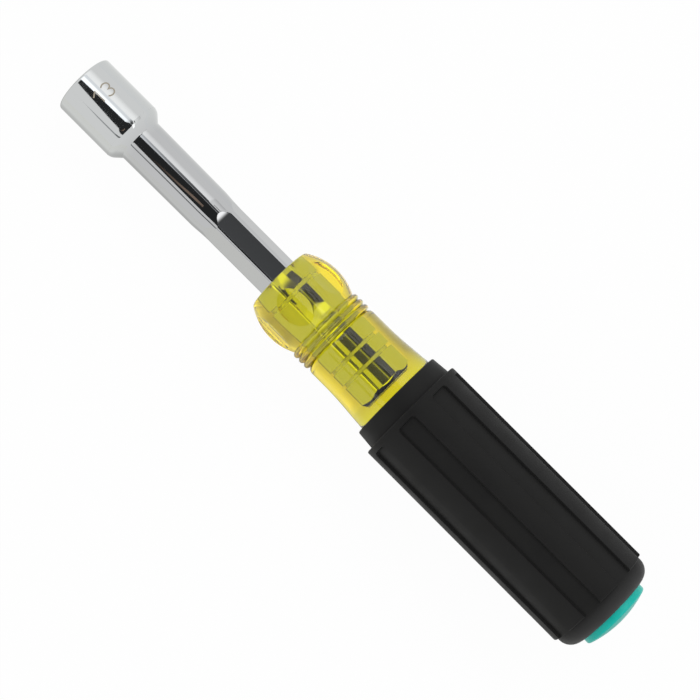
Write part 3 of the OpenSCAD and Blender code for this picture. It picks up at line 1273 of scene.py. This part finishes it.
        # The cavity's sectors are those of the hexagon, next to the sectors of the flutes
        cavity_clock = self.shaft.bolster_clock + sector
        rows = [(ring, HandleWall.CAVITY, cavity_clock) for ring in self.cavity()]
        rows += [(ring, HandleWall.BULB, self.flute_clock) for ring in self.bulb()]
        rows += [(ring, HandleWall.TURNED, self.flute_clock) for ring in self.neck()]
        points = [
            [
                pattern.axis.point(ring.station, self.radius_at(ring, turn, wall), clock + turn)
                for turn in self.turns(ring, wall)
            ]
            for ring, wall, clock in rows
        ]
        piece = pattern.spread("handle_core_clear", points, self.flute_count, self.finish.material())
        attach(piece, BODY)
        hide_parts("handle_core")
        return piece


@dataclass(frozen=True)
class CushionGrip:
    """Rubber grip with a collar, a ring, lengthwise ribs and a smooth tail."""

    handle: Handle
    body_r: float = 15.65
    rib_h: float = 0.9
    collar_r: float = 14.9
    collar_taper: float = 0.5
    collar_l: float = 5.6
    ring_l: float = 2.0
    rib_l: float = 70.6
    rib_count: int = 8
    rib_clock: float = 11.0
    groove_w: float = 5.8
    groove_round: float = 1.0
    groove_slope: float = 5.0
    # Reach of the closer columns on both sides of a groove's wall, and the steps before, in and after them
    wall_reach: tuple[float, float] = (0.8, 0.6)
    wall_steps: tuple[int, int, int] = (5, 18, 6)
    # Reach of the closer rings before and behind the grooves' front ends, and their number
    bend_reach: tuple[float, float] = (0.5, 1.7)
    bend_steps: int = 28
    ring_margin: float = 0.1
    # Rings of the straight ribs: where they start behind the closer ones, their number, and how far before
    # the ribs' rear ends they stop and the outline of the tail starts
    rib_lead: float = 1.0
    rib_steps: int = 14
    rib_end_reach: tuple[float, float] = (1.2, 0.8)
    crest_blend: float = 0.16
    foot_blend: float = 0.22
    tail_l: float = 5.0
    tail_round: float = 4.25
    edge_round: float = 0.45
    foot_round: float = 0.2
    lip_round: float = 0.2
    cap_r: float = 10.7
    finish: CushionRubber = field(default_factory=CushionRubber)

    @property
    def rib_r(self) -> float:
        """Radius over the ribs."""
        return self.body_r + self.rib_h

    @property
    def ledge_at(self) -> float:
        """Station of the ledge in front of the ring."""
        return self.handle.flare_end + self.collar_l

    @property
    def groove_at(self) -> float:
        """Station where the grooves start."""
        return self.ledge_at + self.ring_l

    @property
    def rib_end(self) -> float:
        """Station of the ribs' rear ends."""
        return self.groove_at + self.rib_l

    @property
    def end(self) -> float:
        """Station of the grip's rear face."""
        return self.rib_end + self.tail_l

    def depth_in_groove(self, station: float, across: float) -> float:
        """Distance in from the edge of a groove's plan.

        Args:
            station: Station of the place.
            across: Its distance from the middle of the groove.

        Returns:
            The distance, negative outside the groove.
        """
        half = self.groove_w / 2 - self.groove_round
        side = abs(across) - half
        front = self.groove_at + self.groove_round - station
        corner = math.hypot(max(side, 0.0), max(front, 0.0)) + min(max(side, front), 0.0)
        return self.groove_round - corner

    def radius_at(self, ring: Ring, turn: float) -> float:
        """Radius of the outer surface.

        Args:
            ring: Station, and the radius over the ribs there.
            turn: Angle from the middle of a groove, in degrees.

        Returns:
            The radius, pressed in where the groove is.
        """
        if not self.ledge_at + self.edge_round < ring.station < self.rib_end + self.foot_round:
            return ring.radius
        across = (self.body_r + self.rib_h / 2) * math.sin(math.radians(turn))
        depth = self.depth_in_groove(ring.station, across)
        wall = smooth_max(self.rib_h / 2 - depth * self.groove_slope, 0.0, self.foot_blend)
        return self.body_r + smooth_min(ring.radius - self.body_r, wall, self.crest_blend)

    def outline(self) -> list[Ring]:
        """Closed outline over the ribs: collar, ring, ribs, tail, lip and the bore round the core.

        Returns:
            Its rings from the front end of the bore, over the outside, back to the bore.
        """
        front = self.handle.flare_end
        bore_r = self.handle.core_r - BOND
        cap_r = self.cap_r - BOND
        seat = self.handle.core_end - BOND
        bend_from = self.groove_at - self.bend_reach[0]
        rings = guard(soften([
            Corner(front, bore_r),
            Corner(front, self.collar_r - self.collar_taper, self.edge_round),
            Corner(self.ledge_at, self.collar_r, self.foot_round),
            Corner(self.ledge_at, self.rib_r, self.edge_round),
            Corner(bend_from - self.ring_margin, self.rib_r),
        ]))
        bends = spaced(bend_from, self.groove_at + self.bend_reach[1], self.bend_steps)
        straight = spaced(bends[-1] + self.rib_lead, self.rib_end - self.rib_end_reach[0], self.rib_steps)
        rings += [Ring(station, self.rib_r) for station in bends + straight]
        return rings + guard(soften([
            Corner(self.rib_end - self.rib_end_reach[1], self.rib_r),
            Corner(self.rib_end, self.rib_r, self.edge_round),
            Corner(self.rib_end, self.body_r, self.foot_round),
            Corner(self.end, self.body_r, self.tail_round),
            Corner(self.end, cap_r, self.lip_round),
            Corner(seat, cap_r),
            Corner(seat, bore_r),
        ]))

    def turns(self) -> list[float]:
        """Angles across one groove and the halves of its ribs, closer together at the groove's walls.

        Returns:
            Angles from the middle of the groove, in degrees.
        """
        middle_r = self.body_r + self.rib_h / 2
        inner = self.groove_w / 2 - self.wall_reach[0]
        outer = self.groove_w / 2 + self.wall_reach[1]
        ends = (0, inner, outer, middle_r * math.sin(math.pi / self.rib_count))
        across = [0.0]
        for start, end, count in zip(ends, ends[1:], self.wall_steps):
            across += spaced(start, end, count)[1:]
        return mirrored([math.degrees(math.asin(spot / middle_r)) for spot in across])

    def build(self, pattern: RoundPattern) -> bpy.types.Object:
        """Makes and dresses the grip.

        Args:
            pattern: Pattern that sets the ribs round the axis.

        Returns:
            The finished piece.
        """
        groove_clock = self.rib_clock + 180 / self.rib_count
        points = [
            [
                pattern.axis.point(ring.station, self.radius_at(ring, turn), groove_clock + turn)
                for turn in self.turns()
            ]
            for ring in self.outline()
        ]
        finish = self.finish.material(pattern.axis.x(self.rib_end), pattern.axis.x(self.end))
        piece = pattern.spread("cushion_grip_rubber", points, self.rib_count, finish, closed=True)
        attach(piece, BODY)
        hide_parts("cushion_grip")
        return piece


@dataclass(frozen=True)
class EndCap:
    """Colour-coded cap with a domed head and a stem in the handle's rear end."""

    grip: CushionGrip
    side_l: float = 2.05
    dome_h: float = 1.85
    edge_round: float = 0.7
    dome_step: float = 1.0
    stem_r: float = 6.0
    stem_l: float = 14.0
    finish: MouldedPlastic = MouldedPlastic("abs", ("#00BCAD", "#08C8BA"), (0.3, 0.4), 1.53, 0.28)

    def build(self, pattern: RoundPattern) -> bpy.types.Object:
        """Makes and dresses the cap.

        Args:
            pattern: Pattern that turns the outline round the axis.

        Returns:
            The finished piece.
        """
        head_r = self.grip.cap_r
        seat = self.grip.handle.core_end
        dome_r = (head_r ** 2 + self.dome_h ** 2) / self.dome_h / 2
        top = self.grip.end + self.side_l + self.dome_h
        edge_r = head_r - self.edge_round
        rise = math.sqrt((dome_r - self.edge_round) ** 2 - edge_r ** 2)
        touch = math.degrees(math.atan2(rise, edge_r))
        dome = Ring(top - dome_r, 0.0)
        rim = Ring(dome.station + rise, edge_r)
        outline = guard([
            Ring(seat - self.stem_l, 0.0),
            Ring(seat - self.stem_l, self.stem_r),
            Ring(seat, self.stem_r),
            Ring(seat, head_r),
            Ring(rim.station, head_r),
        ])
        outline += arc(rim, self.edge_round, 0, touch)[1:]
        outline += arc(dome, dome_r, touch, 90, self.dome_step)[1:]
        piece = pattern.turned("end_cap_teal", outline, self.finish.material())
        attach(piece, BODY)
        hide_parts("end_cap")
        return piece


class Side(Enum):
    """Side of a card that its light changes along."""

    ALONG = "X"
    ACROSS = "Y"


@dataclass(frozen=True)
class Fade:
    """Change of a card's brightness along one of its sides, from full to a share of it."""

    side: Side
    start: float
    end: float
    share: float


@dataclass(frozen=True)
class Card:
    """A flat panel over the tool that shows only in its reflections."""

    name: str
    outline: tuple[tuple[float, float], ...]
    height: float
    colour: str
    strength: float = 1.0
    fades: tuple[Fade, ...] = ()

    def glow(self) -> bpy.types.Material:
        """Makes the card's even or fading light.

        Returns:
            The material.
        """
        finish = FinishTree(f"{self.name}_glow")
        tree = finish.tree
        place = add_node(tree, "ShaderNodeSeparateXYZ", {"Vector": finish.place}).outputs
        level: Any = self.strength
        for fade in self.fades:
            share = add_node(tree, "ShaderNodeMapRange", {
                "Value": place[fade.side.value],
                "From Min": fade.start * MM, "From Max": fade.end * MM, "To Min": 1.0, "To Max": fade.share,
            }, interpolation_type="SMOOTHSTEP")
            level = add_node(tree, "ShaderNodeMath", {0: level, 1: share}, operation="MULTIPLY")
        light = add_node(tree, "ShaderNodeEmission", {"Color": linear(self.colour), "Strength": level})
        return finish.close(light)

    def build(self, axis: ToolAxis) -> bpy.types.Object:
        """Hangs the card.

        Args:
            axis: Axis that the card's height is measured from.

        Returns:
            The card.
        """
        level = axis.height + self.height * MM
        mesh = bpy.data.meshes.new(self.name)
        mesh.from_pydata([(x * MM, y * MM, level) for x, y in self.outline], [], [range(len(self.outline))])
        mesh.materials.append(self.glow())
        card = placed(self.name, mesh)
        card.visible_camera = False
        card.visible_diffuse = False
        card.visible_shadow = False
        return card


@dataclass(frozen=True)
class Softbox:
    """A rectangular lamp aimed at the middle of the tool."""

    name: str
    place: tuple[float, float, float]
    width: float
    length: float
    power: float

    def build(self, axis: ToolAxis) -> bpy.types.Object:
        """Hangs the lamp.

        Args:
            axis: Axis that the lamp's place is measured from.

        Returns:
            The lamp.
        """
        lamp = bpy.data.lights.new(self.name, "AREA")
        lamp.shape = "RECTANGLE"
        lamp.size = self.length * MM
        lamp.size_y = self.width * MM
        lamp.energy = self.power
        box = placed(self.name, lamp)
        box.visible_camera = False
        box.visible_glossy = False
        away = Vector(self.place) * MM
        back = away.normalized()
        along = (Vector((1, 0, 0)) - back * back.x).normalized()
        box.matrix_world = posed(away + Vector((0, 0, axis.height)), along, back.cross(along), back)
        return box


@dataclass(frozen=True)
class Shadow:
    """Painted soft stripe of shadow on the floor along the tool."""

    inner: float
    outer: float
    level: float

    def edges(self) -> dict[str, float]:
        """Inputs of the range that draws it across the floor, by name."""
        return {"From Min": self.inner * MM, "From Max": self.outer * MM, "To Min": self.level}


@dataclass(frozen=True)
class Studio:
    """White sweep, lamps and reflected panels of a plain product shot."""

    grip: CushionGrip
    shaft: SocketShaft
    floor_size: float = 4000.0
    floor_colour: str = "#F2F2F2"
    floor_glow: float = 0.97
    shadow_at: float = -9.2
    # Painted shadow stripes on the paper: one beside the bare steel, and a narrower one under the clear
    # handle
    steel_shadow: Shadow = Shadow(0.0, 26.0, 0.62)
    handle_shadow: Shadow = Shadow(7.0, 11.5, 0.38)
    sides: tuple[str, str] = ("#FFFFFB", "#FDFEFF")
    side_fade: float = 100.0
    # Painted amber light on the paper under the clear handle, and the soft edges and half-width of that
    # patch
    painted_amber_light: str = "#FFF0C4"
    handle_patch_edge: float = 6.0
    handle_patch_half: float = 20.0
    ambient: float = 0.55
    panel_h: float = 660.0
    panel_gap: float = 2.0

    def paper(self, axis: ToolAxis) -> bpy.types.Material:
        """Makes the paper of the floor.

        Args:
            axis: Axis of the tool.

        Returns:
            The material.
        """
        # Paper that glows wherever it is seen, so that it is white and keeps a trace of its shadows. For
        # mirrored and refracted rays it carries a painted shadow: a soft stripe beside the tool, on the
        # side away from the key, which the chrome shows, and a narrower, darker one under the clear handle
        # with painted amber light. Together they stand in for the light that the yellow plastic gathers
        # onto the paper
        finish = FinishTree("white_paper")
        tree = finish.tree
        handle = self.grip.handle
        seen, bounced = self.seen(tree)
        place = add_node(tree, "ShaderNodeSeparateXYZ", {"Vector": finish.place}).outputs
        off = add_node(tree, "ShaderNodeMath", {0: place["Y"], 1: self.shadow_at * MM},
                       operation="SUBTRACT")
        away = add_node(tree, "ShaderNodeMath", {0: off}, operation="ABSOLUTE")
        # Mask of the strip under the clear handle, which takes the narrower painted shadow and the painted
        # amber light
        under: Any = 1.0
        for value, edge, turn in (
            (place["X"], axis.x(handle.front), 1),
            (place["X"], axis.x(handle.flare_end), -1),
            (away, self.handle_patch_half * MM, -1),
        ):
            inside = add_node(tree, "ShaderNodeMapRange", {
                "Value": value, "From Min": edge, "From Max": edge + turn * self.handle_patch_edge * MM,
            })
            under = add_node(tree, "ShaderNodeMath", {0: under, 1: inside}, operation="MULTIPLY")
        # Painted shadow: a soft dark stripe along the tool, for mirrored and refracted rays only
        clear = self.handle_shadow.edges()
        stripe = {
            name: add_node(tree, "ShaderNodeMix", {"Factor": under, "A": steel, "B": clear[name]})
            for name, steel in self.steel_shadow.edges().items()
        }
        shade = add_node(tree, "ShaderNodeMapRange", {"Value": away, **stripe},
                         interpolation_type="SMOOTHSTEP")
        level = add_node(tree, "ShaderNodeMix", {"Factor": bounced, "A": 1.0, "B": shade})
        side = add_node(tree, "ShaderNodeMapRange", {
            "Value": place["Y"], "From Min": -self.side_fade * MM, "From Max": self.side_fade * MM,
        })
        paler = add_node(tree, "ShaderNodeMix", {
            "Factor": side, "A": linear(self.sides[0]), "B": linear(self.sides[1]),
        }, data_type="RGBA")
        # Painted amber light under the clear handle, for mirrored and refracted rays only
        amber = add_node(tree, "ShaderNodeMix", {
            "Factor": under, "A": paler, "B": linear(self.painted_amber_light),
        }, data_type="RGBA")
        tint = add_node(tree, "ShaderNodeMix", {
            "Factor": bounced, "A": linear(WHITE), "B": amber,
        }, data_type="RGBA")
        glow = add_node(tree, "ShaderNodeEmission", {"Color": tint, "Strength": level})
        matt = add_node(tree, "ShaderNodeBsdfDiffuse", {"Color": linear(self.floor_colour)})
        shown = add_node(tree, "ShaderNodeMath", {0: seen, 1: self.floor_glow}, operation="MULTIPLY")
        return finish.close(add_node(tree, "ShaderNodeMixShader", {0: shown, 1: matt, 2: glow}))

    def floor(self, axis: ToolAxis) -> bpy.types.Object:
        """Lays the floor under the two places that the tool rests on, its socket and its ledge.

        Args:
            axis: Axis of the tool.

        Returns:
            The floor.
        """
        half = self.floor_size / 2 * MM
        heel = Vector((axis.x(self.grip.ledge_at), 0, axis.height - self.grip.rib_r * MM))
        toe = Vector((axis.x(self.shaft.mouth_round), 0, axis.height - self.shaft.socket_r * MM))
        slope = (toe.z - heel.z) / (toe.x - heel.x)
        corners = ((-half, -half), (half, -half), (half, half), (-half, half))
        mesh = bpy.data.meshes.new("floor")
        mesh.from_pydata([(x, y, heel.z + (x - heel.x) * slope) for x, y in corners], [], [range(4)])
        mesh.materials.append(self.paper(axis))
        floor = placed("floor", mesh)
        return floor

    @staticmethod
    def seen(tree: bpy.types.NodeTree) -> tuple[bpy.types.Node, bpy.types.Node]:
        """Adds the tests for rays that show a surface: straight, mirrored or through clear plastic.

        Args:
            tree: Tree that takes the tests.

        Returns:
            Node that gives 1 for all such rays, and one that gives 1 for those that aren't straight.
        """
        path = add_node(tree, "ShaderNodeLightPath").outputs
        bounced = add_node(tree, "ShaderNodeMath", {
            0: path["Is Glossy Ray"], 1: path["Is Transmission Ray"],
        }, operation="MAXIMUM")
        either = add_node(tree, "ShaderNodeMath", {0: path["Is Camera Ray"], 1: bounced},
                          operation="MAXIMUM")
        return either, bounced

    def sky(self) -> None:
        """Sets the white surroundings, which light the tool less than they show."""
        world = bpy.data.worlds.new("white_studio")
        bpy.context.scene.world = world
        world.use_nodes = True
        tree = world.node_tree
        tree.nodes.clear()
        level = add_node(tree, "ShaderNodeMapRange", {
            "Value": self.seen(tree)[0], "To Min": self.ambient, "To Max": 1.0,
        })
        light = add_node(tree, "ShaderNodeBackground", {"Color": linear(WHITE), "Strength": level})
        add_node(tree, "ShaderNodeOutputWorld", {"Surface": light})

    def cards(self) -> list[Card]:
        """Panels that the chrome mirrors, the nearer ones first.

        Returns:
            The dark camera stand with its warm trim, the gap beside it, the rear lamp, the strip light that
            fades behind the camera, the bright overhead sheet with its bar, and the frame of the fill.
        """
        stand = (
            (-252, 40), (-241, 64), (-220, 93), (-196, 140), (-177, 165), (-160, 185), (300, 185),
            (300, -410), (-171, -404), (-191, -389), (-209, -358), (-228, -261), (-246, -171), (-252, -130),
        )
        trim = (
            (-200, -300), (-176, -290), (-146, -190), (-136, -80), (-148, -72), (-161, -160), (-184, -235),
        )
        gap = (
            (-206, 180), (-190, 185), (-168, 196), (70, 192), (70, 208), (-168, 212), (-185, 235),
            (-206, 246),
        )
        rear = ((125, 200), (1100, 200), (1100, 350), (125, 350))
        strip = ((-330, 30), (300, 30), (300, 318), (-120, 318), (-165, 366), (-330, 366))
        bar = ((-60, 398), (300, 398), (300, 434), (-60, 434))
        sheet = ((-900, 300), (600, 300), (600, 1150), (-900, 1150))
        edge = ((-300, -690), (-215, -630), (300, -590), (300, -730), (-215, -760), (-300, -790))
        layers = [self.panel_h + i * self.panel_gap for i in range(5)]
        x, y = Side.ALONG, Side.ACROSS
        return [
            Card("camera_trim", trim, layers[0], "#FFDFC8", 0.32, (Fade(x, -150, -190, 0.12),)),
            Card("camera_stand", stand, layers[1], "#303132"),
            Card("lamp_gap", gap, layers[2], "#F8FBFF", 1.1, (Fade(x, -182, -150, 0.6),)),
            Card("rear_lamp", rear, layers[2], WHITE, 1.8, (Fade(x, 305, 125, 0.07),)),
            Card("strip_light", strip, layers[3], "#F8FBFF", 1.9,
                 (Fade(x, -235, -150, 0.074), Fade(y, 190, 262, 0.63))),
            Card("sheet_bar", bar, layers[3], "#303132"),
            Card("overhead_sheet", sheet, layers[4], WHITE, 1.38,
                 (Fade(y, 450, 1100, 0.72), Fade(x, -165, -110, 0.8))),
            Card("fill_frame", edge, layers[4], "#B4B6B8", 1.0, (Fade(x, -300, -210, 0.45),)),
        ]

    def lamps(self) -> list[Softbox]:
        """Lamps of the set.

        Returns:
            The key on the +Y side and a weaker fill across from it.
        """
        return [
            Softbox("key_softbox", (60, 700, 800), 330, 900, 4.0),
            Softbox("fill_softbox", (60, -800, 600), 500, 900, 1.5),
        ]

    def build(self, axis: ToolAxis) -> None:
        """Sets up the floor, the surroundings, the cards and the lamps.

        Args:
            axis: Axis of the tool.
        """
        self.sky()
        log.info("stage: %s", self.floor(axis).name)
        for item in self.cards() + self.lamps():
            log.info("stage: %s", item.build(axis).name)


@dataclass(frozen=True)
class Viewpoint:
    """Camera over the tool, which crosses the square picture from corner to corner."""

    target_station: float = 105.2
    distance: float = 660.0
    frame_w: float = 193.2
    tilt: float = 3.3
    sensor_w: float = 36.0
    nearest: float = 50.0

    def build(self, axis: ToolAxis) -> bpy.types.Object:
        """Sets up the camera.

        Args:
            axis: Axis of the tool.

        Returns:
            The camera.
        """
        lens = bpy.data.cameras.new("camera")
        lens.sensor_fit = "HORIZONTAL"
        lens.sensor_width = self.sensor_w
        lens.lens = self.sensor_w * self.distance / self.frame_w
        lens.clip_start = self.nearest * MM
        tilt = math.radians(self.tilt)
        back = Vector((math.sin(tilt), 0, math.cos(tilt)))
        along = Vector((math.cos(tilt), 0, -math.sin(tilt)))
        across = Vector((0, 1, 0))
        right = (along + across).normalized()
        up = (across - along).normalized()
        target = Vector((axis.x(self.target_station), 0, axis.height))
        camera = placed("camera", lens)
        camera.matrix_world = posed(target + back * self.distance * MM, right, up, back)
        bpy.context.scene.camera = camera
        return camera


def set_light_paths(scene: bpy.types.Scene) -> None:
    """Lets light bounce often enough between the clear plastic and the chrome inside it.

    Args:
        scene: Scene to set.
    """
    scene.view_settings.view_transform = "Standard"
    scene.cycles.max_bounces = BOUNCES
    scene.cycles.glossy_bounces = SURFACE_BOUNCES
    scene.cycles.transmission_bounces = SURFACE_BOUNCES


def main() -> None:
    """Builds the tool piece by piece, then the studio and the camera."""
    logging.basicConfig(level=logging.INFO, format="%(name)s: %(message)s")
    set_light_paths(bpy.context.scene)
    axis = ToolAxis.of_frame()
    pattern = RoundPattern(axis)
    shaft = SocketShaft()
    plug = ShaftPlug(shaft)
    handle = Handle(shaft, plug)
    grip = CushionGrip(handle)
    cap = EndCap(grip)
    pieces = [
        shaft.build(pattern),
        SizeMark(shaft).build(axis),
        plug.build(pattern),
        handle.build(pattern),
        grip.build(pattern),
        cap.build(pattern),
    ]
    for piece in pieces:
        log.info("piece: %s, %d faces", piece.name, len(piece.data.polygons))
    Studio(grip, shaft).build(axis)
    log.info("camera: %s", Viewpoint().build(axis).name)


if __name__ == "__main__":
    main()
